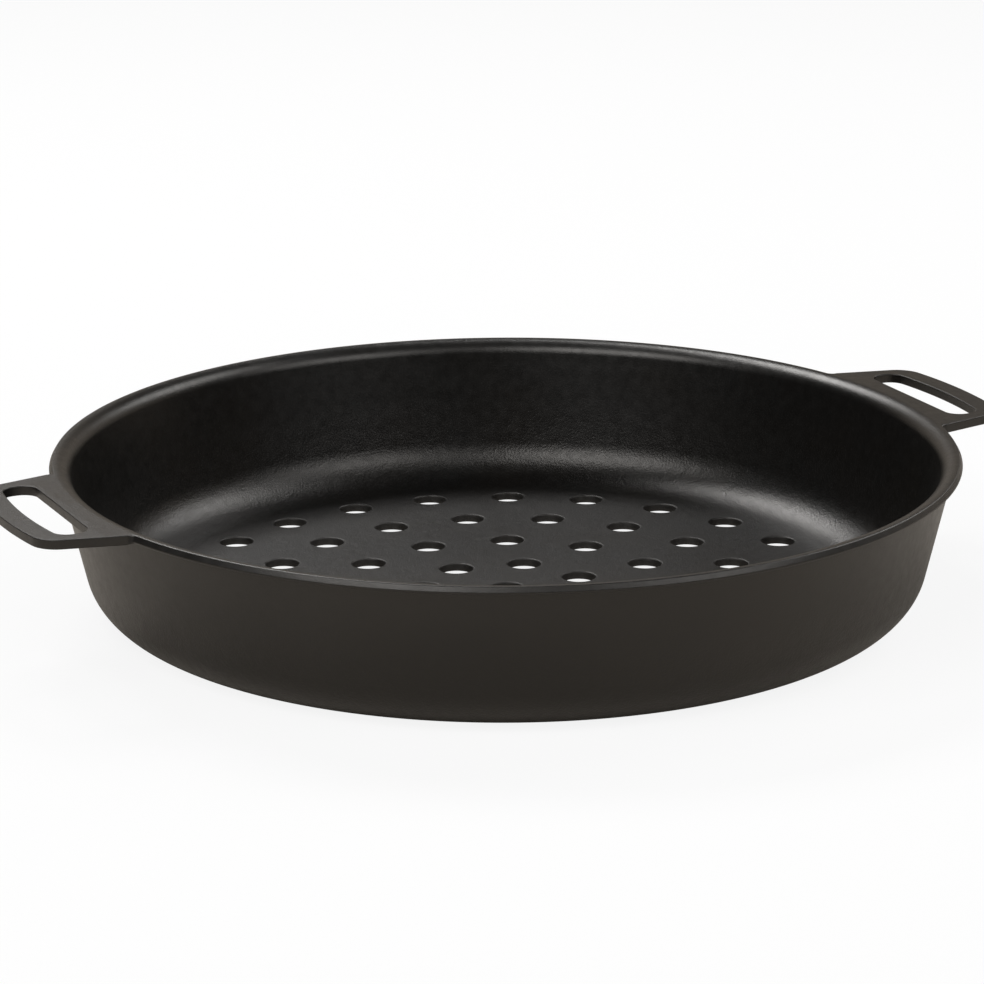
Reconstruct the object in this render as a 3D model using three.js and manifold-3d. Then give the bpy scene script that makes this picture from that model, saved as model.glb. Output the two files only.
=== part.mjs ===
// Perforated grill pan: a round, flared iron pan with a ring-patterned open floor and two loop handles.
// The pan is one casting. Its sections are separate bodies here: floor plate, corner, wall, rim and handles.
// Millimetres, +Z up. The base stands on z = 0 about the origin, and the handles lie along X.
import * as THREE from 'three';
import { mergeVertices, toCreasedNormals } from 'three/addons/utils/BufferGeometryUtils.js';
import loadManifold from 'manifold-3d';

const degrees = THREE.MathUtils.degToRad;

// Bowl
const HEIGHT = 57;
const RIM_RADIUS = 166.3;
const WALL_DRAFT = degrees(13.1);
const WALL = 4.1;
const FLOOR = 3;
const CORNER_RADIUS = 20.5;

// Rim: a lip that overhangs the wall, its outer face leaning back to a tight crown above the rounded mouth
const LIP_OVERHANG = 2.6;
const LIP_HEIGHT = 2.7;
const LIP_LEAN = degrees(31);
const LIP_CROWN_ROUND = 0.45;
const LIP_UNDER_ROUND = 0.6;
const LIP_ROOT_FILLET = 0.6;
const MOUTH_ROUND = 6.4;

// Floor perforation: rings of equal pitch round a centre hole, listed from the middle outwards
const RING_PITCH = 30;
const RING_COUNTS = [7, 12, 18, 24];
const RING_TURNS = [0.4, 4.4, 14.4, 4.4].map(degrees);
const HOLE_DIAMETER = 11.5;
const HOLE_EASE = 0.5;
const HOLE_EDGE_MARGIN = 2;

// Loop handles: flat plates level with the top of the rim, each with a D-shaped finger slot
const HANDLE_REACH = 27.7;
const HANDLE_THICKNESS = 3.5;
const HANDLE_ROOT_WIDTH = 84;
const HANDLE_TAPER = degrees(13);
const HANDLE_CORNER_RADIUS = 10.5;
const HANDLE_ROOT_FILLET = 3;
const HANDLE_EDGE_ROUND = 0.6;
const GRIP_BAR = 8.4;
const SLOT_LENGTH = 63;
const SLOT_INSET = 5;
const SLOT_CORNER_RADIUS = 5.5;

// Where the casting is divided besides the top of the corner: the floor inside the corner, the rim below
// the lip and the handles off the rim
const FLOOR_SEAM_INSET = 2;
const RIM_DEPTH = 8;
const LUG_REACH = 2.2;

// Facets
const TURN_SEGMENTS = 72;
const HOLE_SEGMENTS = 16;
const CORNER_STEPS = 7;
const MOUTH_STEPS = 7;
const CREASE_ANGLE = degrees(32);

// Sizes worked out from the driving ones
const wallTopRadius = RIM_RADIUS - LIP_OVERHANG;
const innerCornerRadius = CORNER_RADIUS - FLOOR;
const cornerSeam = CORNER_RADIUS;
const rimSeam = HEIGHT - RIM_DEPTH;
const gripRadius = RIM_RADIUS + HANDLE_REACH;
const lugPlane = RIM_RADIUS + LUG_REACH;

const outerWall = (z) => wallTopRadius - (HEIGHT - z) * Math.tan(WALL_DRAFT);
const innerWall = (z) => outerWall(z) - WALL / Math.cos(WALL_DRAFT);
const baseRadius = outerWall(CORNER_RADIUS) - CORNER_RADIUS / Math.cos(WALL_DRAFT);
const floorRadius = innerWall(CORNER_RADIUS) - innerCornerRadius / Math.cos(WALL_DRAFT);
const plateRadius = Math.min(baseRadius, floorRadius) - FLOOR_SEAM_INSET;

// Centres of the lip's two rounds, set so that the leaning face touches both, and the largest mouth round
// that ends short of the crown
const lipFootRadius = RIM_RADIUS - LIP_UNDER_ROUND;
const lipFootHeight = HEIGHT - LIP_HEIGHT + LIP_UNDER_ROUND;
const crownHeight = HEIGHT - LIP_CROWN_ROUND;
const crownRise = Math.sin(LIP_LEAN) * (crownHeight - lipFootHeight);
const crownRadius = lipFootRadius - (LIP_CROWN_ROUND - LIP_UNDER_ROUND + crownRise) / Math.cos(LIP_LEAN);
const mouthLimit = (crownRadius - innerWall(HEIGHT)) / (1 / Math.cos(WALL_DRAFT) - Math.tan(WALL_DRAFT));
const mouthRound = Math.min(MOUTH_ROUND, mouthLimit);

// Boolean helpers

const wasm = await loadManifold();
wasm.setup();
const { Manifold, Mesh } = wasm;

function toSolid(geometry) {
  const bare = geometry.clone();
  bare.deleteAttribute('normal');
  bare.deleteAttribute('uv');
  const welded = mergeVertices(bare, 1e-5);
  const vertProperties = new Float32Array(welded.attributes.position.array);
  const triVerts = new Uint32Array(welded.index.array);
  return new Manifold(new Mesh({ numProp: 3, vertProperties, triVerts }));
}

function toGeometry(solid) {
  const { vertProperties, triVerts } = solid.getMesh();
  const geometry = new THREE.BufferGeometry();
  geometry.setAttribute('position', new THREE.BufferAttribute(new Float32Array(vertProperties), 3));
  geometry.setIndex(new THREE.BufferAttribute(new Uint32Array(triVerts), 1));
  return toCreasedNormals(geometry, CREASE_ANGLE);
}

// Profile helpers: points are (radius, height) pairs

const point = (radius, height) => new THREE.Vector2(radius, height);

function arc(radius, height, round, fromAngle, toAngle, steps) {
  return Array.from({ length: steps + 1 }, (_, step) => {
    const angle = THREE.MathUtils.lerp(fromAngle, toAngle, step / steps);
    return point(radius + round * Math.cos(angle), height + round * Math.sin(angle));
  });
}

function revolve(profile, segments = TURN_SEGMENTS) {
  return new THREE.LatheGeometry(profile, segments).rotateX(Math.PI / 2);
}

// Floor plate

function holeCutter(x, y) {
  const bore = HOLE_DIAMETER / 2;
  const profile = [
    point(0, -1),
    point(bore, -1),
    point(bore, FLOOR - HOLE_EASE),
    point(bore + HOLE_EASE, FLOOR),
    point(bore + HOLE_EASE, FLOOR + 1),
    point(0, FLOOR + 1),
  ];
  return revolve(profile, HOLE_SEGMENTS).translate(x, y, 0);
}

function holePlaces() {
  const places = [[0, 0]];
  RING_COUNTS.forEach((count, ring) => {
    const radius = RING_PITCH * (ring + 1);
    if (radius + HOLE_DIAMETER / 2 + HOLE_EASE + HOLE_EDGE_MARGIN > plateRadius) return;
    for (let hole = 0; hole < count; hole += 1) {
      const angle = RING_TURNS[ring] + (hole * 2 * Math.PI) / count;
      places.push([radius * Math.cos(angle), radius * Math.sin(angle)]);
    }
  });
  return places;
}

function perforatedFloor() {
  const disc = [point(0, 0), point(plateRadius, 0), point(plateRadius, FLOOR), point(0, FLOOR)];
  const cutters = holePlaces().map(([x, y]) => toSolid(holeCutter(x, y)));
  return toGeometry(toSolid(revolve(disc)).subtract(Manifold.union(cutters)));
}

// Rounded corner between floor and wall

function roundedCorner() {
  const outerCorner = arc(baseRadius, CORNER_RADIUS, CORNER_RADIUS, -Math.PI / 2, -WALL_DRAFT, CORNER_STEPS);
  const innerCorner = arc(floorRadius, CORNER_RADIUS, innerCornerRadius, -WALL_DRAFT, -Math.PI / 2, CORNER_STEPS);
  const profile = [
    point(plateRadius, 0),
    ...outerCorner,
    point(outerWall(cornerSeam), cornerSeam),
    point(innerWall(cornerSeam), cornerSeam),
    ...innerCorner,
    point(plateRadius, FLOOR),
    point(plateRadius, 0),
  ];
  return toGeometry(toSolid(revolve(profile)));
}

// Flared wall

function sideWall() {
  const profile = [
    point(outerWall(cornerSeam), cornerSeam),
    point(outerWall(rimSeam), rimSeam),
    point(innerWall(rimSeam), rimSeam),
    point(innerWall(cornerSeam), cornerSeam),
    point(outerWall(cornerSeam), cornerSeam),
  ];
  return toGeometry(toSolid(revolve(profile)));
}

// Rim with the lugs that carry the handles

function rimBlank() {
  const underside = HEIGHT - LIP_HEIGHT;
  const filletHeight = underside - LIP_ROOT_FILLET;
  const filletRadius = outerWall(filletHeight) + LIP_ROOT_FILLET / Math.cos(WALL_DRAFT);
  const profile = [
    point(0, rimSeam),
    point(outerWall(rimSeam), rimSeam),
    ...arc(filletRadius, filletHeight, LIP_ROOT_FILLET, Math.PI - WALL_DRAFT, Math.PI / 2, 2),
    ...arc(lipFootRadius, lipFootHeight, LIP_UNDER_ROUND, -Math.PI / 2, 0, 2),
    ...arc(lipFootRadius, lipFootHeight, LIP_UNDER_ROUND, 0, LIP_LEAN, 1).slice(1),
    ...arc(crownRadius, crownHeight, LIP_CROWN_ROUND, LIP_LEAN, Math.PI / 2, 2),
    point(0, HEIGHT),
  ];
  return toSolid(revolve(profile));
}

function mouthCavity() {
  const below = rimSeam - 1;
  const roundHeight = HEIGHT - mouthRound;
  const roundRadius = innerWall(roundHeight) + mouthRound / Math.cos(WALL_DRAFT);
  const profile = [
    point(0, below),
    point(innerWall(below), below),
    ...arc(roundRadius, roundHeight, mouthRound, Math.PI - WALL_DRAFT, Math.PI / 2, MOUTH_STEPS),
    point(roundRadius, HEIGHT + 1),
    point(0, HEIGHT + 1),
  ];
  return toSolid(revolve(profile));
}

function rim() {
  const lugs = [0, Math.PI].map((turn) => {
    const outward = [Math.cos(turn), Math.sin(turn), 0].map(Math.round);
    const [, lug] = toSolid(handlePlate().rotateZ(turn)).splitByPlane(outward, lugPlane);
    return lug;
  });
  return toGeometry(Manifold.union([rimBlank(), ...lugs]).subtract(mouthCavity()));
}

// Handle plate, drawn for the +X side from inside the rim to the grip bar

function plateOutline() {
  const side = point(Math.cos(HANDLE_TAPER), -Math.sin(HANDLE_TAPER));
  const normal = point(Math.sin(HANDLE_TAPER), Math.cos(HANDLE_TAPER));
  const rootHalf = HANDLE_ROOT_WIDTH / 2;
  const root = point(Math.sqrt(RIM_RADIUS ** 2 - rootHalf ** 2), rootHalf);

  // A circle that rests on the side's offset line and on a circle about the pan's axis
  const roundCentre = (offset, reach) => {
    const start = root.clone().addScaledVector(normal, offset);
    const along = start.dot(side);
    const travel = -along + Math.sqrt(along ** 2 - start.lengthSq() + reach ** 2);
    return start.addScaledVector(side, travel);
  };
  const fillet = roundCentre(HANDLE_ROOT_FILLET, RIM_RADIUS + HANDLE_ROOT_FILLET);
  const corner = roundCentre(-HANDLE_CORNER_RADIUS, gripRadius - HANDLE_CORNER_RADIUS);
  const sideAngle = normal.angle();
  const tuck = fillet.clone().setLength(innerWall(HEIGHT));

  const shape = new THREE.Shape();
  shape.moveTo(tuck.x, tuck.y);
  shape.lineTo(tuck.x, -tuck.y);
  shape.absarc(fillet.x, -fillet.y, HANDLE_ROOT_FILLET, Math.PI - fillet.angle(), Math.PI - sideAngle, true);
  shape.absarc(corner.x, -corner.y, HANDLE_CORNER_RADIUS, -sideAngle, -corner.angle(), false);
  shape.absarc(0, 0, gripRadius, -corner.angle(), corner.angle(), false);
  shape.absarc(corner.x, corner.y, HANDLE_CORNER_RADIUS, corner.angle(), sideAngle, false);
  shape.absarc(fillet.x, fillet.y, HANDLE_ROOT_FILLET, sideAngle + Math.PI, fillet.angle() + Math.PI, true);
  shape.closePath();
  return shape;
}

function slotOutline() {
  const inner = RIM_RADIUS + SLOT_INSET;
  const outerRadius = gripRadius - GRIP_BAR;
  const half = SLOT_LENGTH / 2;
  const round = SLOT_CORNER_RADIUS;
  const outerY = half - round;
  const outerX = Math.sqrt((outerRadius - round) ** 2 - outerY ** 2);
  const outerAngle = Math.atan2(outerY, outerX);

  const slot = new THREE.Path();
  slot.moveTo(inner, -outerY);
  slot.absarc(inner + round, -outerY, round, Math.PI, 1.5 * Math.PI, false);
  slot.absarc(outerX, -outerY, round, -Math.PI / 2, -outerAngle, false);
  slot.absarc(0, 0, outerRadius, -outerAngle, outerAngle, false);
  slot.absarc(outerX, outerY, round, outerAngle, Math.PI / 2, false);
  slot.absarc(inner + round, outerY, round, Math.PI / 2, Math.PI, false);
  slot.closePath();
  return slot;
}

function handlePlate() {
  const shape = plateOutline();
  shape.holes.push(slotOutline());
  const plate = new THREE.ExtrudeGeometry(shape, {
    depth: HANDLE_THICKNESS - 2 * HANDLE_EDGE_ROUND,
    bevelSize: HANDLE_EDGE_ROUND,
    bevelThickness: HANDLE_EDGE_ROUND,
    bevelOffset: -HANDLE_EDGE_ROUND,
    bevelSegments: 2,
    curveSegments: 4,
  });
  return plate.translate(0, 0, HEIGHT - HANDLE_THICKNESS + HANDLE_EDGE_ROUND);
}

function loopHandle() {
  const [loop] = toSolid(handlePlate()).splitByPlane([1, 0, 0], lugPlane);
  return toGeometry(loop);
}

// Scene graph

const iron = { color: 0x3c3a37, roughness: 0.55, metalness: 0.25 };
const insideIron = { color: 0x363533, roughness: 0.5, metalness: 0.25 };

function addPiece(parent, name, geometry, look) {
  const piece = new THREE.Mesh(geometry, new THREE.MeshStandardMaterial(look));
  piece.name = name;
  parent.add(piece);
  return piece;
}

const pan = new THREE.Group();
addPiece(pan, 'perforated_floor', perforatedFloor(), insideIron);
addPiece(pan, 'rounded_corner', roundedCorner(), iron);
addPiece(pan, 'side_wall', sideWall(), iron);
addPiece(pan, 'rim', rim(), iron);

const handleGeometry = loopHandle();
addPiece(pan, 'handle_right', handleGeometry, iron);
addPiece(pan, 'handle_left', handleGeometry, iron).rotation.z = Math.PI;

export default pan;
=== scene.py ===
"""Perforated grill pan in seasoned cast iron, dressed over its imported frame, and its studio."""

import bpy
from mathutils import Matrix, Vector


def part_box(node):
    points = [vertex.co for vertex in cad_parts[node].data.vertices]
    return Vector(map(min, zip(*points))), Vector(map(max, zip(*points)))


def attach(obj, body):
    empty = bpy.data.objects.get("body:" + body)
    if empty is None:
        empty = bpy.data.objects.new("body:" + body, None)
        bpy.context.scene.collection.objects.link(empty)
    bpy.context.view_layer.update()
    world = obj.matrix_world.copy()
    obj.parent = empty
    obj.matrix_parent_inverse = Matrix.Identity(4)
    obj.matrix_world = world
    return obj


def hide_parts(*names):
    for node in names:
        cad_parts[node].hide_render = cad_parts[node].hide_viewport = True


bl_info = {
    "name": "Perforated Grill Pan",
    "version": (1, 0, 0),
    "blender": (4, 5, 0),
    "location": "View3D > Sidebar > Grill Pan",
    "description": "Builds a cast-iron grill pan with a perforated floor and two loop handles",
    "category": "Add Mesh",
}

import math

import bmesh
import bpy
from bpy.props import FloatProperty, FloatVectorProperty, IntProperty, PointerProperty
from bpy.types import Operator, Panel, PropertyGroup
from mathutils import Quaternion, Vector

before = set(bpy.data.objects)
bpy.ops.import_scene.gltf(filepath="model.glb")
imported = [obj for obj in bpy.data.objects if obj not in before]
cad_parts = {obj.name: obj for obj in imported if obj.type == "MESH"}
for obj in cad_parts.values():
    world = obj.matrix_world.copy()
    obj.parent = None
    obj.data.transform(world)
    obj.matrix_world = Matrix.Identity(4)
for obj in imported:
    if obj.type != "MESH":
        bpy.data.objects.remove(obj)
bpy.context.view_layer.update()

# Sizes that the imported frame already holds
RIM_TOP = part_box("rim")[1]
RIM_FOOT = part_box("rim")[0].z
CORNER_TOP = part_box("rounded_corner")[1].z
FLOOR_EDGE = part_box("perforated_floor")[1]
LUG_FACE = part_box("handle_right")[0].x
GRIP_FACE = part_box("handle_right")[1].x

MILLIMETRE = 0.001


# Properties

def length(name, millimetres, description):
    """A length property, its default in millimetres."""
    return FloatProperty(
        name=name, description=description, default=millimetres * MILLIMETRE,
        min=0.0, precision=5, subtype="DISTANCE", unit="LENGTH",
    )


def angle(name, degrees, description):
    """An angle property, its default in degrees."""
    return FloatProperty(
        name=name, description=description, default=math.radians(degrees),
        subtype="ANGLE", unit="ROTATION",
    )


def share(name, default, description):
    """A plain number from 0 to 1."""
    return FloatProperty(
        name=name, description=description, default=default, min=0.0, max=1.0, subtype="FACTOR",
    )


def colour(name, default, description):
    """A linear colour."""
    return FloatVectorProperty(
        name=name, description=description, default=default, size=3, min=0.0, max=1.0, subtype="COLOR",
    )


def point(name, default, description):
    """A place in the pan's own frame, in metres."""
    return FloatVectorProperty(
        name=name, description=description, default=default, size=3, subtype="XYZ", unit="LENGTH",
    )


class GrillPanBowl(PropertyGroup):
    """Sizes of the floor, corner, wall and rim."""

    wall_draft: angle("Wall draft", 13.1, "Lean of the wall from upright")
    wall: length("Wall", 4.1, "Thickness of the wall")
    inner_round: length("Inner round", 19.0, "Radius inside the corner between floor and wall")
    lip_overhang: length("Lip overhang", 2.6, "How far the lip stands out from the wall")
    lip_height: length("Lip height", 2.7, "Depth of the lip's outer face with its rounds")
    lip_lean: angle("Lip lean", 31.0, "Lean of the lip's outer face back over the rim")
    lip_crown_round: length("Lip crown round", 0.8, "Radius of the lip's upper outer edge")
    lip_under_round: length("Lip under round", 0.7, "Radius of the lip's lower outer edge")
    lip_root_fillet: length("Lip root fillet", 1.3, "Radius between the wall and the lip's underside")
    mouth_round: length("Mouth round", 6.5, "Radius of the rim's inner edge")
    floor_crown: length("Floor crown", 0.92, "How far the floor rises towards its middle")
    ring_pitch: length("Ring pitch", 30.0, "Distance from one ring of holes to the next")
    hole_diameter: length("Hole diameter", 11.75, "Width of each hole at its narrowest")
    hole_draft: angle("Hole draft", 11.0, "Lean of each hole's side, which opens the hole upwards")
    hole_top_round: length("Hole top round", 0.7, "Radius of each hole's upper edge")
    hole_foot_round: length("Hole foot round", 0.4, "Radius of each hole's lower edge")
    turns: IntProperty(name="Turns", description="Steps round the pan's axis", default=360, min=48)


class GrillPanHandles(PropertyGroup):
    """Sizes of the loop handles."""

    thickness: length("Thickness", 3.5, "Thickness of the handle plate")
    root_width: length("Root width", 84.0, "Width where the plate leaves the rim")
    taper: angle("Taper", 13.0, "Lean of each side of the plate")
    corner_radius: length("Corner radius", 10.5, "Radius of the outer corners")
    root_fillet: length("Root fillet", 3.0, "Radius where the plate's sides meet the rim")
    edge_round: length("Edge round", 0.4, "Radius along the edges of plate and slot")
    grip_bar: length("Grip bar", 8.4, "Width of the bar beyond the finger slot")
    slot_length: length("Slot length", 63.0, "Length of the finger slot")
    slot_inset: length("Slot inset", 5.0, "Metal between the rim's outline and the slot")
    slot_corner_radius: length("Slot corner radius", 5.5, "Radius of the slot's corners")


class GrillPanFinish(PropertyGroup):
    """The seasoned iron's colours and texture."""

    black: colour("Seasoning", (0.0036, 0.0034, 0.0031), "Main colour of the seasoned iron")
    brown: colour("Oil tint", (0.0060, 0.0049, 0.0038), "Warm colour where oil has baked on thicker")
    bare: colour("Worn edge", (0.016, 0.015, 0.014), "Colour along rubbed edges")
    wear: share("Wear", 0.35, "How far the edges are rubbed")
    roughness: share("Roughness", 0.36, "Mean roughness of the surface")
    unevenness: share("Unevenness", 0.04, "How far the mottling changes the roughness each way")
    oil_smoothing: share("Oil smoothing", 0.03, "How much smoother the oiled patches are")
    edge_dulling: share("Edge dulling", 0.05, "How much rougher the rubbed edges are")
    floor_dulling: share("Floor dulling", 0.12, "How much rougher the floor is than the corner")
    gloss_index: FloatProperty(
        name="Gloss index", description="Index of refraction of the seasoned skin",
        default=1.62, min=1.0, max=4.0,
    )
    gloss_tint: colour("Gloss tint", (1.0, 0.965, 0.925), "Colour of reflections seen straight on")
    grain: length("Grain", 0.8, "Size of the sand-cast grain")
    grain_depth: length("Grain depth", 0.06, "Height of the sand-cast grain")
    swell_depth: length("Swell depth", 0.07, "Height of the broad unevenness of the casting")


class GrillPanStudio(PropertyGroup):
    """The camera and the pale surfaces round the pan."""

    camera_place: point("Camera place", (-0.60913, -1.29446, 0.46322), "Where the camera stands")
    camera_aim: point("Camera aim", (-0.00339, 0.00474, 0.03969), "Point in the middle of the picture")
    camera_roll: angle("Camera roll", -0.2543, "Turn of the camera about its own view")
    camera_lens: FloatProperty(
        name="Camera lens", description="Focal length for a sensor 36 mm wide",
        default=148.7, min=1.0, unit="CAMERA",
    )
    pale: colour("Pale", (0.63, 0.58, 0.52), "Matt colour of floor and backdrop")
    floor_tint: colour("Floor tint", (0.05, 0.045, 0.038), "What the floor adds to reflections")
    backdrop_tint: colour("Backdrop tint", (0.30, 0.26, 0.215), "What the backdrop adds to reflections")
    floor_white: share("Floor white", 0.88, "How white the floor is to the camera without its shadows")
    backdrop_white: share("Backdrop white", 1.0, "How white the backdrop is to the camera")
    room: share("Room", 0.02, "Strength of the dim room's own light")


# Profiles in (radius, height) pairs

# Distance between points along a straight stretch, and steps along each round
WALL_SPACING = 2.0 * MILLIMETRE
CORNER_STEPS = 28
MOUTH_STEPS = 20
EDGE_STEPS = 8


def arc(centre, radius, start, end, steps):
    """Points along an arc, with both of its ends."""
    turns = [start + (end - start) * step / steps for step in range(steps + 1)]
    return [(centre[0] + radius * math.cos(turn), centre[1] + radius * math.sin(turn)) for turn in turns]


def run(start, end, spacing=WALL_SPACING):
    """Evenly spaced points along a line, without its first point."""
    steps = max(1, round(math.dist(start, end) / spacing))
    return [
        (start[0] + (end[0] - start[0]) * step / steps, start[1] + (end[1] - start[1]) * step / steps)
        for step in range(1, steps + 1)
    ]


def outer_wall(bowl, height):
    """Radius of the wall's outer face at a height."""
    return RIM_TOP.y - bowl.lip_overhang - (RIM_TOP.z - height) * math.tan(bowl.wall_draft)


def inner_wall(bowl, height):
    """Radius of the wall's inner face at a height."""
    return outer_wall(bowl, height) - bowl.wall / math.cos(bowl.wall_draft)


def corner_profile(bowl):
    """Closed outline of the rounded corner between floor and wall."""
    draft = bowl.wall_draft
    outer_centre = (outer_wall(bowl, CORNER_TOP) - CORNER_TOP / math.cos(draft), CORNER_TOP)
    outside = arc(outer_centre, CORNER_TOP, -math.pi / 2, -draft, CORNER_STEPS)
    inner_height = FLOOR_EDGE.z + bowl.inner_round
    inner_centre = (inner_wall(bowl, inner_height) - bowl.inner_round / math.cos(draft), inner_height)
    inside = arc(inner_centre, bowl.inner_round, -draft, -math.pi / 2, CORNER_STEPS)
    outer_top = (outer_wall(bowl, CORNER_TOP), CORNER_TOP)
    inner_top = (inner_wall(bowl, CORNER_TOP), CORNER_TOP)
    return [
        (FLOOR_EDGE.x, 0.0),
        *outside,
        *run(outside[-1], outer_top),
        inner_top,
        *run(inner_top, inside[0]),
        *inside[1:],
        (FLOOR_EDGE.x, FLOOR_EDGE.z),
    ]


def wall_profile(bowl):
    """Closed outline of the flared wall."""
    outer_foot = (outer_wall(bowl, CORNER_TOP), CORNER_TOP)
    outer_top = (outer_wall(bowl, RIM_FOOT), RIM_FOOT)
    inner_top = (inner_wall(bowl, RIM_FOOT), RIM_FOOT)
    inner_foot = (inner_wall(bowl, CORNER_TOP), CORNER_TOP)
    return [outer_foot, *run(outer_foot, outer_top), inner_top, *run(inner_top, inner_foot)]


def rim_profile(bowl):
    """Open outline of the rim, from the top of the mouth down and out to the lip's underside."""
    draft = bowl.wall_draft
    mouth_height = RIM_TOP.z - bowl.mouth_round
    mouth_radius = inner_wall(bowl, mouth_height) + bowl.mouth_round / math.cos(draft)
    mouth = arc((mouth_radius, mouth_height), bowl.mouth_round, math.pi / 2, math.pi - draft, MOUTH_STEPS)
    root = bowl.lip_root_fillet
    root_height = RIM_TOP.z - bowl.lip_height - root
    root_radius = outer_wall(bowl, root_height) + root / math.cos(draft)
    fillet = arc((root_radius, root_height), root, math.pi - draft, math.pi / 2, EDGE_STEPS)
    inner_foot = (inner_wall(bowl, RIM_FOOT), RIM_FOOT)
    outer_foot = (outer_wall(bowl, RIM_FOOT), RIM_FOOT)
    return [*mouth, *run(mouth[-1], inner_foot), outer_foot, *run(outer_foot, fillet[0]), *fillet[1:]]


# Meshes

def skin(bm, spokes, closed):
    """Joins a closed row of like spokes with quads.

    A closed spoke also joins its last point to its first.
    """
    for spoke, after in zip(spokes, spokes[1:] + spokes[:1]):
        ends = list(zip(spoke, spoke[1:] + spoke[:1], after, after[1:] + after[:1]))
        for low, high, next_low, next_high in ends if closed else ends[:-1]:
            bm.faces.new((low, next_low, next_high, high))


def revolve(bm, profile, turns, closed=True, centre=(0.0, 0.0)):
    """Turns a profile about an upright axis and returns a ring of vertices for each of its points."""
    spokes = []
    for turn in range(turns):
        bearing = math.tau * turn / turns
        across, along = math.cos(bearing), math.sin(bearing)
        spokes.append([
            bm.verts.new((centre[0] + radius * across, centre[1] + radius * along, height))
            for radius, height in profile
        ])
    skin(bm, spokes, closed)
    return [list(ring) for ring in zip(*spokes)]


def ring_edges(bm, ring):
    """Edges of a closed ring of vertices, made where they are missing."""
    return [
        bm.edges.get((here, after)) or bm.edges.new((here, after))
        for here, after in zip(ring, ring[1:] + ring[:1])
    ]


def fill_between(bm, rings):
    """Covers the flat area between an outer ring and the rings inside it."""
    edges = [edge for ring in rings for edge in ring_edges(bm, ring)]
    bmesh.ops.triangle_fill(bm, edges=edges, use_beauty=True, normal=(0.0, 0.0, 1.0))


def keep_side(bm, place, direction):
    """Cuts a closed mesh by an upright plane, keeps what lies ahead of it and closes the cut."""
    geometry = [*bm.verts, *bm.edges, *bm.faces]
    bmesh.ops.bisect_plane(bm, geom=geometry, plane_co=place, plane_no=direction, clear_inner=True)
    open_edges = [edge for edge in bm.edges if edge.is_boundary]
    bmesh.ops.holes_fill(bm, edges=open_edges)


# Floor

# Number of holes in each ring and the turn of its first hole
HOLE_RINGS = (
    (7, math.radians(0.4)),
    (12, math.radians(4.4)),
    (18, math.radians(14.4)),
    (24, math.radians(4.4)),
)
HOLE_TURNS = 48
HOLE_SPACING = 0.8 * MILLIMETRE
# Flat ring round each hole, which keeps the wear on the hole's edge
HOLE_MARGIN = 0.6 * MILLIMETRE


def hole_places(bowl):
    """Centres of the holes: one in the middle and rings of equal pitch round it."""
    places = [(0.0, 0.0)]
    for ring, (count, first) in enumerate(HOLE_RINGS, start=1):
        reach = ring * bowl.ring_pitch
        for hole in range(count):
            bearing = first + math.tau * hole / count
            places.append((reach * math.cos(bearing), reach * math.sin(bearing)))
    return places


def hole_profile(bowl):
    """Open outline of a hole's edge, from the floor's upper face down to its underside."""
    top, foot, draft = bowl.hole_top_round, bowl.hole_foot_round, bowl.hole_draft
    foot_radius = bowl.hole_diameter / 2 + foot
    set_back = (top - foot + math.sin(draft) * (FLOOR_EDGE.z - top - foot)) / math.cos(draft)
    top_radius = foot_radius + set_back
    upper = arc((top_radius, FLOOR_EDGE.z - top), top, math.pi / 2, math.pi - draft, EDGE_STEPS)
    lower = arc((foot_radius, foot), foot, math.pi - draft, 1.5 * math.pi, EDGE_STEPS)
    side = run(upper[-1], lower[0], HOLE_SPACING)
    flat_top = (top_radius + HOLE_MARGIN, FLOOR_EDGE.z)
    flat_foot = (foot_radius + HOLE_MARGIN, 0.0)
    return [flat_top, *upper, *side, *lower[1:], flat_foot]


def build_floor(bm, bowl):
    """Floor plate with its rounded holes, slightly crowned."""
    edge = [(FLOOR_EDGE.x, 0.0), (FLOOR_EDGE.x, FLOOR_EDGE.z)]
    foot, top = revolve(bm, edge, bowl.turns, closed=False)
    tops, feet = [top], [foot]
    for place in hole_places(bowl):
        rings = revolve(bm, hole_profile(bowl), HOLE_TURNS, closed=False, centre=place)
        tops.append(rings[0])
        feet.append(rings[-1])
    fill_between(bm, tops)
    fill_between(bm, feet)
    for vertex in bm.verts:
        off_centre = vertex.co.xy.length / FLOOR_EDGE.x
        vertex.co.z += bowl.floor_crown * (1.0 - off_centre ** 2)


# Rim and handles, in plan

# Steps along each stretch of the handle's outline and of its slot's
GRIP_STEPS = 14
HANDLE_CORNER_STEPS = 16
HANDLE_SIDE_STEPS = 12
ROOT_FILLET_STEPS = 12
SLOT_FAR_SIDE_STEPS = 12
SLOT_FAR_CORNER_STEPS = 10
SLOT_NEAR_CORNER_STEPS = 12
SLOT_END_STEPS = 6
SLOT_NEAR_SIDE_STEPS = 10


def bend(centre, radius, start, end, steps, outward=1.0):
    """Points along an arc in plan, each with its normal out of the metal."""
    points = []
    for step in range(steps + 1):
        bearing = start + (end - start) * step / steps
        normal = Vector((math.cos(bearing), math.sin(bearing)))
        points.append((Vector(centre) + radius * normal, outward * normal))
    return points


def straight(start, end, steps):
    """Points between two others along a straight side."""
    return [(start[0].lerp(end[0], step / steps), start[1]) for step in range(1, steps)]


def mirrored(points):
    """The same points on the other side of the X axis, in reverse order."""
    flip = Vector((1.0, -1.0))
    return [(place * flip, normal * flip, *rest) for place, normal, *rest in reversed(points)]


def half_turned(points):
    """The same points half a turn round the pan's axis."""
    return [(-place, -normal, *rest) for place, normal, *rest in points]


def bearing_of(place):
    """Angle of a place in plan about the pan's axis."""
    return math.atan2(place.y, place.x)


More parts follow.
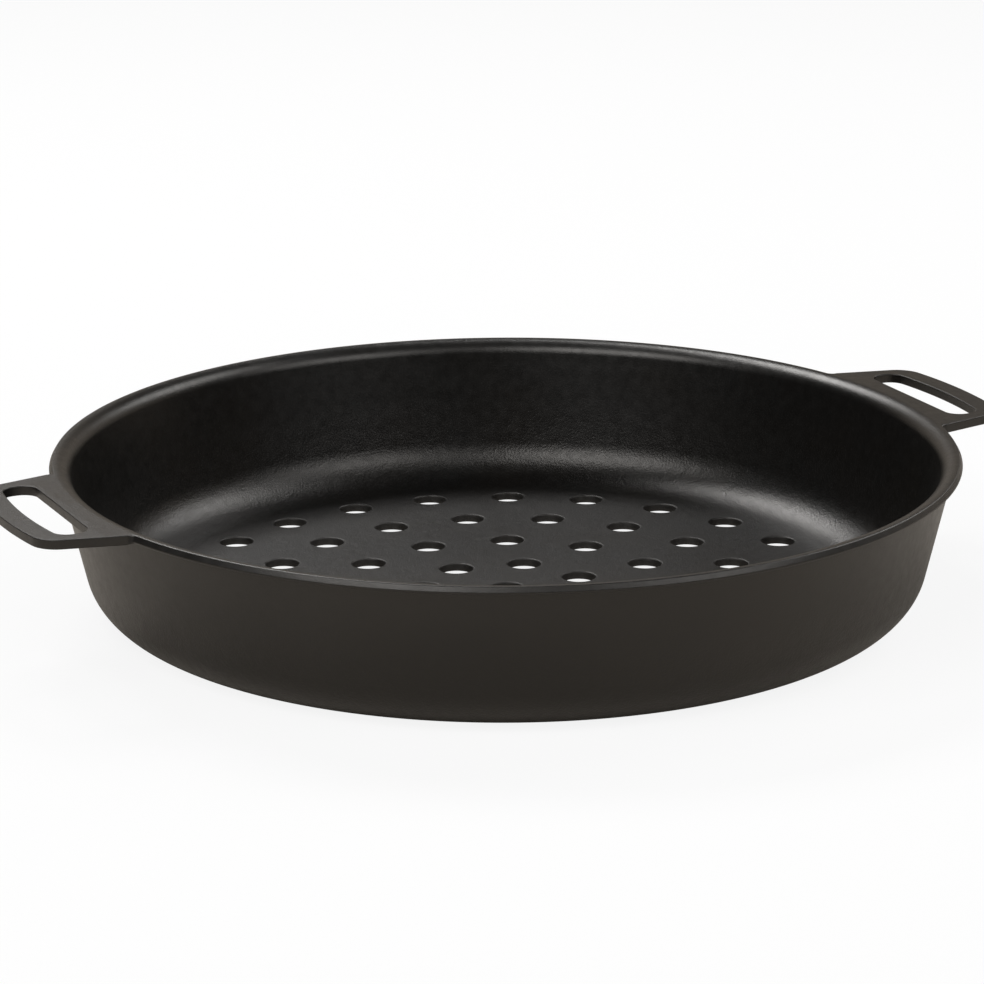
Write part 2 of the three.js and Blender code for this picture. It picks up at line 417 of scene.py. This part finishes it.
def resting_circle(side_point, side, normal, offset, reach):
    """Centre of a circle that touches a straight side and a circle about the pan's axis."""
    start = side_point + offset * normal
    along = start.dot(side)
    travel = -along + math.sqrt(along ** 2 - start.length_squared + reach ** 2)
    return start + travel * side


def half_handle(handles):
    """Plan of the +X handle's upper half, from the middle of the grip to the rim.

    Returns the points of the loop beyond the root fillet and the points of the fillet.
    """
    rim = RIM_TOP.y
    fillet, corner = handles.root_fillet, handles.corner_radius
    side = Vector((math.cos(handles.taper), -math.sin(handles.taper)))
    normal = Vector((math.sin(handles.taper), math.cos(handles.taper)))
    half = handles.root_width / 2
    root = Vector((math.sqrt(rim ** 2 - half ** 2), half))
    fillet_centre = resting_circle(root, side, normal, fillet, rim + fillet)
    corner_centre = resting_circle(root, side, normal, -corner, GRIP_FACE - corner)
    corner_turn = bearing_of(corner_centre)
    fillet_turn = bearing_of(fillet_centre) + math.pi
    side_turn = bearing_of(normal)

    grip = bend((0.0, 0.0), GRIP_FACE, 0.0, corner_turn, GRIP_STEPS)
    outer_corner = bend(corner_centre, corner, corner_turn, side_turn, HANDLE_CORNER_STEPS)
    root_fillet = bend(
        fillet_centre, fillet, side_turn + math.pi, fillet_turn, ROOT_FILLET_STEPS, outward=-1.0,
    )
    side_run = straight(outer_corner[-1], root_fillet[0], HANDLE_SIDE_STEPS)
    return [*grip, *outer_corner[1:], *side_run], root_fillet


def casting_outline(bowl, handles):
    """Plan outline of the rim with both handles, counter-clockwise from the middle of the +X grip.

    Each point has its place, its normal out of the metal and its share of handle against lip.
    """
    loop, fillet = half_handle(handles)
    upper = [(place, normal, 1.0) for place, normal in loop]
    last = len(fillet) - 1
    blend = [(place, normal, 1.0 - step / last) for step, (place, normal) in enumerate(fillet)]
    handle = [*upper, *blend[:-1]]
    contact = bearing_of(fillet[-1][0])
    steps = round(bowl.turns * (math.pi - 2 * contact) / math.tau)
    around_rim = bend((0.0, 0.0), RIM_TOP.y, contact, math.pi - contact, steps)
    lip = [(place, normal, 0.0) for place, normal in around_rim]
    half = [*handle, *lip, *half_turned(mirrored(handle[1:-1]))]
    return [*half, *half_turned(half)]


def slot_outline(handles):
    """Plan outline of the +X handle's finger slot, counter-clockwise, with normals out of the metal."""
    inner = RIM_TOP.y + handles.slot_inset
    outer = GRIP_FACE - handles.grip_bar
    corner = handles.slot_corner_radius
    y = handles.slot_length / 2 - corner
    x = math.sqrt((outer - corner) ** 2 - y ** 2)
    corner_turn = math.atan2(y, x)
    quarter = math.pi / 2
    far = bend((0.0, 0.0), outer, 0.0, corner_turn, SLOT_FAR_SIDE_STEPS, outward=-1.0)
    far_corner = bend((x, y), corner, corner_turn, quarter, SLOT_FAR_CORNER_STEPS, outward=-1.0)
    near_centre = (inner + corner, y)
    near_corner = bend(near_centre, corner, quarter, math.pi, SLOT_NEAR_CORNER_STEPS, outward=-1.0)
    middle = (Vector((inner, 0.0)), near_corner[-1][1])
    end = straight(far_corner[-1], near_corner[0], SLOT_END_STEPS)
    near = straight(near_corner[-1], middle, SLOT_NEAR_SIDE_STEPS)
    upper = [*far, *far_corner[1:], *end, *near_corner, *near]
    return [*upper, middle, *mirrored(upper[1:])]


# Rim and handles, as meshes

def edge_spoke(bm, place, normal, thickness, top_round, foot_round, lean=0.0):
    """Vertices down one rounded edge of a plate whose top is level with the rim."""
    upper_height = RIM_TOP.z - top_round
    lower_height = RIM_TOP.z - thickness + foot_round
    lean_run = math.sin(lean) * (upper_height - lower_height)
    set_back = (top_round - foot_round + lean_run) / math.cos(lean)
    upper = arc((-foot_round - set_back, upper_height), top_round, math.pi / 2, lean, EDGE_STEPS)
    lower = arc((-foot_round, lower_height), foot_round, lean, -math.pi / 2, EDGE_STEPS)
    spoke = []
    for offset, height in [*upper, *lower]:
        x, y = place + offset * normal
        spoke.append(bm.verts.new((x, y, height)))
    return spoke


def mix(low, high, share_of_high):
    """Value part of the way from one to another."""
    return low + (high - low) * share_of_high


def build_rim_and_handles(bm, bowl, handles):
    """The rim with both handles as the one casting that it is."""
    thickness, edge_round = handles.thickness, handles.edge_round
    outline = [
        edge_spoke(
            bm, place, normal,
            mix(bowl.lip_height, thickness, handle),
            mix(bowl.lip_crown_round, edge_round, handle),
            mix(bowl.lip_under_round, edge_round, handle),
            mix(bowl.lip_lean, 0.0, handle),
        )
        for place, normal, handle in casting_outline(bowl, handles)
    ]
    edges = [outline]
    slot = slot_outline(handles)
    for points in (slot, half_turned(slot)):
        edges.append([
            edge_spoke(bm, place, normal, thickness, edge_round, edge_round)
            for place, normal in points
        ])
    for edge in edges:
        skin(bm, edge, closed=False)

    rings = revolve(bm, rim_profile(bowl), bowl.turns, closed=False)
    fill_between(bm, [*([spoke[0] for spoke in edge] for edge in edges), rings[0]])
    fill_between(bm, [*([spoke[-1] for spoke in edge] for edge in edges), rings[-1]])


# Finish

# Curvatures, per metre, at which an edge starts to be rubbed and is rubbed fully
WEAR_STARTS = 150.0
WEAR_IS_FULL = 1050.0
# Edges sharper than this are seams between pieces of the one casting
SEAM_ANGLE = math.radians(50.0)

# Scale of each pattern's noise, in cells to the metre
PATCHES = 18.0
SWELLS = 90.0
MOTTLES = 260.0
# Levels of noise between which the oil, the rubbing and the mottling go from none to full
OIL_LEVELS = (0.42, 0.68)
RUB_LEVELS = (0.35, 0.65)
MOTTLE_LEVELS = (0.3, 0.7)

# Radii, as shares of the floor's, between which the floor's dulling fades out
DULLING_FADE = (0.86, 1.04)
# Relief in multiples of its stated depth: on floor and corner, on the wall, and added on the rim
FLOOR_RELIEF = 2.0
WALL_RELIEF = 0.5
RIM_EXTRA_RELIEF = 0.5
# Heights between which it fades to the wall's, as shares of the corner's top
RELIEF_FADE = (0.9, 1.7)
# Height at which the rim has all of its own, as a share of the rim's top
RIM_RELIEF_TOP = 0.97


def store_edge_wear(mesh):
    """Stores how sharply each point of a piece stands out, from 0 on flat metal to 1 on a tight edge.

    Only rounded edges count. The sharp ones are seams, where the metal runs on.
    """
    seams = {index for edge in mesh.edges if edge.use_edge_sharp for index in edge.vertices}
    sharpest = [0.0] * len(mesh.vertices)
    for edge in mesh.edges:
        first, second = (mesh.vertices[index] for index in edge.vertices)
        step = second.co - first.co
        if step.length_squared > 0.0 and seams.isdisjoint(edge.vertices):
            curve = (second.normal - first.normal).dot(step) / step.length_squared
            for index in edge.vertices:
                sharpest[index] = max(sharpest[index], curve)
    rubbed = [(curve - WEAR_STARTS) / (WEAR_IS_FULL - WEAR_STARTS) for curve in sharpest]
    wear = mesh.attributes.new("edge_wear", "FLOAT", "POINT")
    wear.data.foreach_set("value", [min(1.0, max(0.0, value)) for value in rubbed])


def add_node(tree, kind, **values):
    """A new node with the given properties set."""
    node = tree.nodes.new(kind)
    for name, value in values.items():
        setattr(node, name, value)
    return node


def set_inputs(node, **values):
    """Sets a node's own sockets by name, with underscores for spaces."""
    for name, value in values.items():
        node.inputs[name.replace("_", " ")].default_value = value


def noise(tree, place, scale, detail=2.0, rough=0.5):
    """Noise in the pan's own coordinates."""
    node = add_node(tree, "ShaderNodeTexNoise")
    set_inputs(node, Scale=scale, Detail=detail, Roughness=rough)
    tree.links.new(place, node.inputs["Vector"])
    return node.outputs["Fac"]


def span(tree, value, low, high, to_low=0.0, to_high=1.0):
    """A value stretched from one range to another, held at its ends."""
    node = add_node(tree, "ShaderNodeMapRange", clamp=True)
    set_inputs(node, From_Min=low, From_Max=high, To_Min=to_low, To_Max=to_high)
    tree.links.new(value, node.inputs["Value"])
    return node.outputs["Result"]


def combine(tree, operation, first, second):
    """Two values put together by a math operation. Either may be a number."""
    node = add_node(tree, "ShaderNodeMath", operation=operation)
    for socket, value in zip(node.inputs, (first, second)):
        if isinstance(value, (int, float)):
            socket.default_value = value
        else:
            tree.links.new(value, socket)
    return node.outputs["Value"]


def blend_colour(tree, factor, first, second):
    """A colour between two others, either of which may be a fixed one."""
    node = add_node(tree, "ShaderNodeMix", data_type="RGBA")
    tree.links.new(factor, node.inputs["Factor"])
    first_colour, second_colour = (socket for socket in node.inputs if socket.type == "RGBA")
    for socket, value in ((first_colour, first), (second_colour, second)):
        if isinstance(value, bpy.types.NodeSocket):
            tree.links.new(value, socket)
        else:
            socket.default_value = (*value, 1.0)
    return next(socket for socket in node.outputs if socket.type == "RGBA")


def dulling_of_floor(tree, place, finish):
    """What the floor's dulling adds to the roughness. It fades out about where the corner begins."""
    flattened = add_node(tree, "ShaderNodeVectorMath", operation="MULTIPLY")
    flattened.inputs[1].default_value = (1.0, 1.0, 0.0)
    tree.links.new(place, flattened.inputs[0])
    radius = add_node(tree, "ShaderNodeVectorMath", operation="LENGTH")
    tree.links.new(flattened.outputs["Vector"], radius.inputs[0])
    inner, outer = (end * FLOOR_EDGE.x for end in DULLING_FADE)
    return span(tree, radius.outputs["Value"], inner, outer, finish.floor_dulling, 0.0)


def relief_scale(tree, place):
    """How strong the relief is: coarse on floor and corner, fine on the wall, in between on the rim."""
    rise = add_node(tree, "ShaderNodeSeparateXYZ")
    tree.links.new(place, rise.inputs["Vector"])
    low, high = (end * CORNER_TOP for end in RELIEF_FADE)
    below = span(tree, rise.outputs["Z"], low, high, FLOOR_RELIEF, WALL_RELIEF)
    above = span(tree, rise.outputs["Z"], RIM_FOOT, RIM_RELIEF_TOP * RIM_TOP.z, 0.0, RIM_EXTRA_RELIEF)
    return combine(tree, "ADD", below, above)


def add_relief(tree, shader, layers, scale):
    """Stacks bumps on a shader, each from a pattern and its depth."""
    relief = None
    for pattern, depth in layers:
        bump = add_node(tree, "ShaderNodeBump")
        set_inputs(bump, Strength=1.0, Distance=depth)
        tree.links.new(combine(tree, "MULTIPLY", pattern, scale), bump.inputs["Height"])
        if relief is not None:
            tree.links.new(relief, bump.inputs["Normal"])
        relief = bump.outputs["Normal"]
    tree.links.new(relief, shader.inputs["Normal"])


def seasoned_iron(finish):
    """Black seasoned cast iron: sand-cast grain, patches of baked oil and lightly rubbed edges."""
    name = "seasoned_iron"
    if name in bpy.data.materials:
        return bpy.data.materials[name]
    material = bpy.data.materials.new(name)
    material.use_nodes = True
    tree = material.node_tree
    iron = tree.nodes["Principled BSDF"]
    place = add_node(tree, "ShaderNodeTexCoord").outputs["Object"]
    patches = noise(tree, place, PATCHES, detail=4.0, rough=0.55)
    mottle = noise(tree, place, MOTTLES, detail=4.0, rough=0.6)
    grain = noise(tree, place, 1.0 / finish.grain, detail=3.0, rough=0.6)
    swell = noise(tree, place, SWELLS)

    oiled = span(tree, patches, *OIL_LEVELS)
    rubbed = add_node(tree, "ShaderNodeAttribute", attribute_name="edge_wear").outputs["Fac"]
    broken = combine(tree, "MULTIPLY", rubbed, span(tree, mottle, *RUB_LEVELS))
    worn = combine(tree, "MULTIPLY", broken, finish.wear)
    seasoning = blend_colour(tree, oiled, finish.black, finish.brown)
    tree.links.new(blend_colour(tree, worn, seasoning, finish.bare), iron.inputs["Base Color"])

    smoother, rougher = finish.roughness - finish.unevenness, finish.roughness + finish.unevenness
    roughness = span(tree, mottle, *MOTTLE_LEVELS, smoother, rougher)
    dulled = combine(tree, "MULTIPLY", rubbed, finish.edge_dulling)
    smoothed = combine(tree, "MULTIPLY", oiled, finish.oil_smoothing)
    roughness = combine(tree, "ADD", roughness, dulling_of_floor(tree, place, finish))
    roughness = combine(tree, "ADD", roughness, dulled)
    tree.links.new(combine(tree, "SUBTRACT", roughness, smoothed), iron.inputs["Roughness"])
    set_inputs(iron, IOR=finish.gloss_index, Specular_Tint=(*finish.gloss_tint, 1.0))

    layers = ((grain, finish.grain_depth), (mottle, finish.grain_depth), (swell, finish.swell_depth))
    add_relief(tree, iron, layers, relief_scale(tree, place))
    return material


def add_piece(context, name, bm, node):
    """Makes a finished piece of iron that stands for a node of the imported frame."""
    bmesh.ops.recalc_face_normals(bm, faces=bm.faces)
    mesh = bpy.data.meshes.new(name)
    bm.to_mesh(mesh)
    bm.free()
    mesh.shade_smooth()
    mesh.set_sharp_from_angle(angle=SEAM_ANGLE)
    store_edge_wear(mesh)
    mesh.materials.append(seasoned_iron(context.scene.grill_pan_finish))
    piece = bpy.data.objects.new(name, mesh)
    context.collection.objects.link(piece)
    even = piece.modifiers.new("Even shading", "WEIGHTED_NORMAL")
    even.keep_sharp = True
    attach(piece, "root")
    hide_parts(node)


# Studio

# Turn of the camera's view across the pan from the pan's Y axis
VIEW_TURN = math.radians(25.0)
SENSOR_WIDTH = 36.0
FLOOR_RADIUS = 9.0
FLOOR_SIDES = 96
BACKDROP_DISTANCE = 4.5
BACKDROP_HEIGHT = 2.0
# Degrees from straight behind the pan, round to its right
BACKDROP_TURNS = range(-45, 80, 5)

SOFT_BOX_DISTANCE = 1.7
# Name, turn to the right from straight behind the pan and rise in degrees, width, height and radiance
SOFT_BOXES = (
    ("soft_box_back_left", -30.0, 48.5, 0.86, 0.52, 10.0),
    ("soft_box_front_left", -145.0, 47.0, 1.20, 0.80, 4.1),
    ("soft_box_back_right", 55.0, 40.0, 0.85, 0.74, 3.5),
    ("soft_box_front_right", 127.0, 41.0, 1.04, 0.82, 2.4),
)


def place_camera(context, studio):
    """The camera at the picture's own angle."""
    camera = bpy.data.cameras.new("studio_camera")
    camera.sensor_width = SENSOR_WIDTH
    camera.lens = studio.camera_lens
    stand = bpy.data.objects.new("studio_camera", camera)
    stand.location = studio.camera_place
    view = Vector(studio.camera_aim) - Vector(studio.camera_place)
    roll = Quaternion((0.0, 0.0, 1.0), studio.camera_roll)
    stand.rotation_mode = "QUATERNION"
    stand.rotation_quaternion = view.to_track_quat("-Z", "Y") @ roll
    context.collection.objects.link(stand)
    context.scene.camera = stand


def around(turn, rise, distance):
    """A place about the pan, turned to the right from straight behind it and raised, in degrees."""
    bearing = VIEW_TURN + math.radians(turn)
    rise = math.radians(rise)
    level = math.cos(rise)
    return distance * Vector((level * math.sin(bearing), level * math.cos(bearing), math.sin(rise)))


def pale_where_seen(name, studio, white_share, tint_colour):
    """A pale matt surface that shows near white to the camera and adds its tint to reflections."""
    material = bpy.data.materials.new(name)
    material.use_nodes = True
    tree = material.node_tree
    tree.nodes.remove(tree.nodes["Principled BSDF"])
    path = add_node(tree, "ShaderNodeLightPath").outputs
    matt = add_node(tree, "ShaderNodeBsdfDiffuse")
    set_inputs(matt, Color=(*studio.pale, 1.0))
    tint = add_node(tree, "ShaderNodeEmission")
    set_inputs(tint, Color=(*tint_colour, 1.0))
    reflected = combine(tree, "MAXIMUM", path["Is Glossy Ray"], path["Is Transmission Ray"])
    tree.links.new(reflected, tint.inputs["Strength"])
    grey = 1.0 - white_share
    shadowed = add_node(tree, "ShaderNodeBsdfDiffuse")
    set_inputs(shadowed, Color=(grey, grey, grey, 1.0))
    white = add_node(tree, "ShaderNodeEmission")
    set_inputs(white, Strength=white_share)
    choice = add_node(tree, "ShaderNodeMixShader")
    tree.links.new(path["Is Camera Ray"], choice.inputs["Fac"])
    for socket, surface, glow in ((choice.inputs[1], matt, tint), (choice.inputs[2], shadowed, white)):
        both = add_node(tree, "ShaderNodeAddShader")
        tree.links.new(surface.outputs["BSDF"], both.inputs[0])
        tree.links.new(glow.outputs["Emission"], both.inputs[1])
        tree.links.new(both.outputs["Shader"], socket)
    tree.links.new(choice.outputs["Shader"], tree.nodes["Material Output"].inputs["Surface"])
    return material


def add_stage_piece(context, name, bm, material):
    """A piece of the studio, which isn't part of the pan."""
    mesh = bpy.data.meshes.new(name)
    bm.to_mesh(mesh)
    bm.free()
    mesh.materials.append(material)
    piece = bpy.data.objects.new(name, mesh)
    context.collection.objects.link(piece)


def lay_floor(context, studio):
    """A wide pale floor."""
    bm = bmesh.new()
    bmesh.ops.create_circle(bm, cap_ends=True, segments=FLOOR_SIDES, radius=FLOOR_RADIUS)
    pale = pale_where_seen("pale_floor", studio, studio.floor_white, studio.floor_tint)
    add_stage_piece(context, "studio_floor", bm, pale)


def stand_backdrop(context, studio):
    """A low curved sheet far behind the pan, carried round to its right."""
    bm = bmesh.new()
    rows = []
    for turn in BACKDROP_TURNS:
        foot = around(turn, 0.0, BACKDROP_DISTANCE)
        top = foot + Vector((0.0, 0.0, BACKDROP_HEIGHT))
        rows.append([bm.verts.new(foot), bm.verts.new(top)])
    for (foot, top), (next_foot, next_top) in zip(rows, rows[1:]):
        bm.faces.new((foot, next_foot, next_top, top))
    pale = pale_where_seen("pale_backdrop", studio, studio.backdrop_white, studio.backdrop_tint)
    add_stage_piece(context, "studio_backdrop", bm, pale)


def hang_soft_boxes(context):
    """Soft boxes that face the pan, each as bright all over as its radiance says."""
    for name, turn, rise, width, height, radiance in SOFT_BOXES:
        lamp = bpy.data.lights.new(name, "AREA")
        lamp.shape = "RECTANGLE"
        lamp.size, lamp.size_y = width, height
        lamp.energy = radiance * math.pi * width * height
        stand = bpy.data.objects.new(name, lamp)
        stand.location = around(turn, rise, SOFT_BOX_DISTANCE)
        stand.rotation_mode = "QUATERNION"
        stand.rotation_quaternion = (-stand.location).to_track_quat("-Z", "Y")
        stand.visible_camera = False
        context.collection.objects.link(stand)


def light_room(context, studio):
    """A dim room whose far walls show white to the camera."""
    world = bpy.data.worlds.new("studio_room")
    world.use_nodes = True
    tree = world.node_tree
    room = tree.nodes["Background"]
    set_inputs(room, Color=(1.0, 1.0, 1.0, 1.0))
    path = add_node(tree, "ShaderNodeLightPath").outputs
    seen = combine(tree, "MAXIMUM", path["Is Camera Ray"], path["Is Transmission Ray"])
    tree.links.new(span(tree, seen, 0.0, 1.0, studio.room, 1.0), room.inputs["Strength"])
    context.scene.world = world
    context.scene.view_settings.view_transform = "Standard"


# Operators

class GRILLPAN_OT_stage(Operator):
    """Add the floor, backdrop, lights and camera of the studio"""

    bl_idname = "grill_pan.stage"
    bl_label = "Studio"
    bl_options = {"REGISTER", "UNDO"}

    def execute(self, context):
        studio = context.scene.grill_pan_studio
        place_camera(context, studio)
        lay_floor(context, studio)
        stand_backdrop(context, studio)
        hang_soft_boxes(context)
        light_room(context, studio)
        return {"FINISHED"}


class GRILLPAN_OT_floor(Operator):
    """Add the floor plate with its rings of rounded holes"""

    bl_idname = "grill_pan.floor"
    bl_label = "Perforated Floor"
    bl_options = {"REGISTER", "UNDO"}

    def execute(self, context):
        bm = bmesh.new()
        build_floor(bm, context.scene.grill_pan_bowl)
        add_piece(context, "pan_floor", bm, "perforated_floor")
        return {"FINISHED"}


class GRILLPAN_OT_corner(Operator):
    """Add the rounded corner between floor and wall"""

    bl_idname = "grill_pan.corner"
    bl_label = "Rounded Corner"
    bl_options = {"REGISTER", "UNDO"}

    def execute(self, context):
        bowl = context.scene.grill_pan_bowl
        bm = bmesh.new()
        revolve(bm, corner_profile(bowl), bowl.turns)
        add_piece(context, "pan_corner", bm, "rounded_corner")
        return {"FINISHED"}


class GRILLPAN_OT_wall(Operator):
    """Add the flared wall"""

    bl_idname = "grill_pan.wall"
    bl_label = "Flared Wall"
    bl_options = {"REGISTER", "UNDO"}

    def execute(self, context):
        bowl = context.scene.grill_pan_bowl
        bm = bmesh.new()
        revolve(bm, wall_profile(bowl), bowl.turns)
        add_piece(context, "pan_wall", bm, "side_wall")
        return {"FINISHED"}


class GRILLPAN_OT_rim(Operator):
    """Add the rounded rim with the lugs that carry the handles"""

    bl_idname = "grill_pan.rim"
    bl_label = "Rim"
    bl_options = {"REGISTER", "UNDO"}

    def execute(self, context):
        bm = bmesh.new()
        build_rim_and_handles(bm, context.scene.grill_pan_bowl, context.scene.grill_pan_handles)
        for outward in (1.0, -1.0):
            keep_side(bm, (outward * LUG_FACE, 0.0, 0.0), (-outward, 0.0, 0.0))
        add_piece(context, "pan_rim", bm, "rim")
        return {"FINISHED"}


class GRILLPAN_OT_handles(Operator):
    """Add the two loop handles"""

    bl_idname = "grill_pan.handles"
    bl_label = "Loop Handles"
    bl_options = {"REGISTER", "UNDO"}

    def execute(self, context):
        for side, outward in (("right", 1.0), ("left", -1.0)):
            bm = bmesh.new()
            build_rim_and_handles(bm, context.scene.grill_pan_bowl, context.scene.grill_pan_handles)
            keep_side(bm, (outward * LUG_FACE, 0.0, 0.0), (outward, 0.0, 0.0))
            add_piece(context, f"pan_handle_{side}", bm, f"handle_{side}")
        return {"FINISHED"}


# Panel and registration

SETTINGS = {
    "grill_pan_bowl": GrillPanBowl,
    "grill_pan_handles": GrillPanHandles,
    "grill_pan_finish": GrillPanFinish,
    "grill_pan_studio": GrillPanStudio,
}
OPERATORS = (
    GRILLPAN_OT_stage,
    GRILLPAN_OT_floor,
    GRILLPAN_OT_corner,
    GRILLPAN_OT_wall,
    GRILLPAN_OT_rim,
    GRILLPAN_OT_handles,
)


class VIEW3D_PT_grill_pan(Panel):
    """Sizes, finish and pieces of the grill pan"""

    bl_label = "Grill Pan"
    bl_space_type = "VIEW_3D"
    bl_region_type = "UI"
    bl_category = "Grill Pan"

    def draw(self, context):
        for name, group in SETTINGS.items():
            box = self.layout.box()
            settings = getattr(context.scene, name)
            for setting in group.__annotations__:
                box.prop(settings, setting)
        for operator in OPERATORS:
            self.layout.operator(operator.bl_idname)


CLASSES = (*SETTINGS.values(), *OPERATORS, VIEW3D_PT_grill_pan)


def register():
    """Registers the classes and hangs the settings on the scene."""
    for cls in CLASSES:
        bpy.utils.register_class(cls)
    for name, group in SETTINGS.items():
        setattr(bpy.types.Scene, name, PointerProperty(type=group))


def unregister():
    """Takes the settings and the classes away again."""
    for name in SETTINGS:
        delattr(bpy.types.Scene, name)
    for cls in reversed(CLASSES):
        bpy.utils.unregister_class(cls)


def main():
    """Builds the pan and its studio."""
    register()
    bpy.ops.grill_pan.stage()
    bpy.ops.grill_pan.floor()
    bpy.ops.grill_pan.corner()
    bpy.ops.grill_pan.wall()
    bpy.ops.grill_pan.rim()
    bpy.ops.grill_pan.handles()


if __name__ == "__main__":
    main()
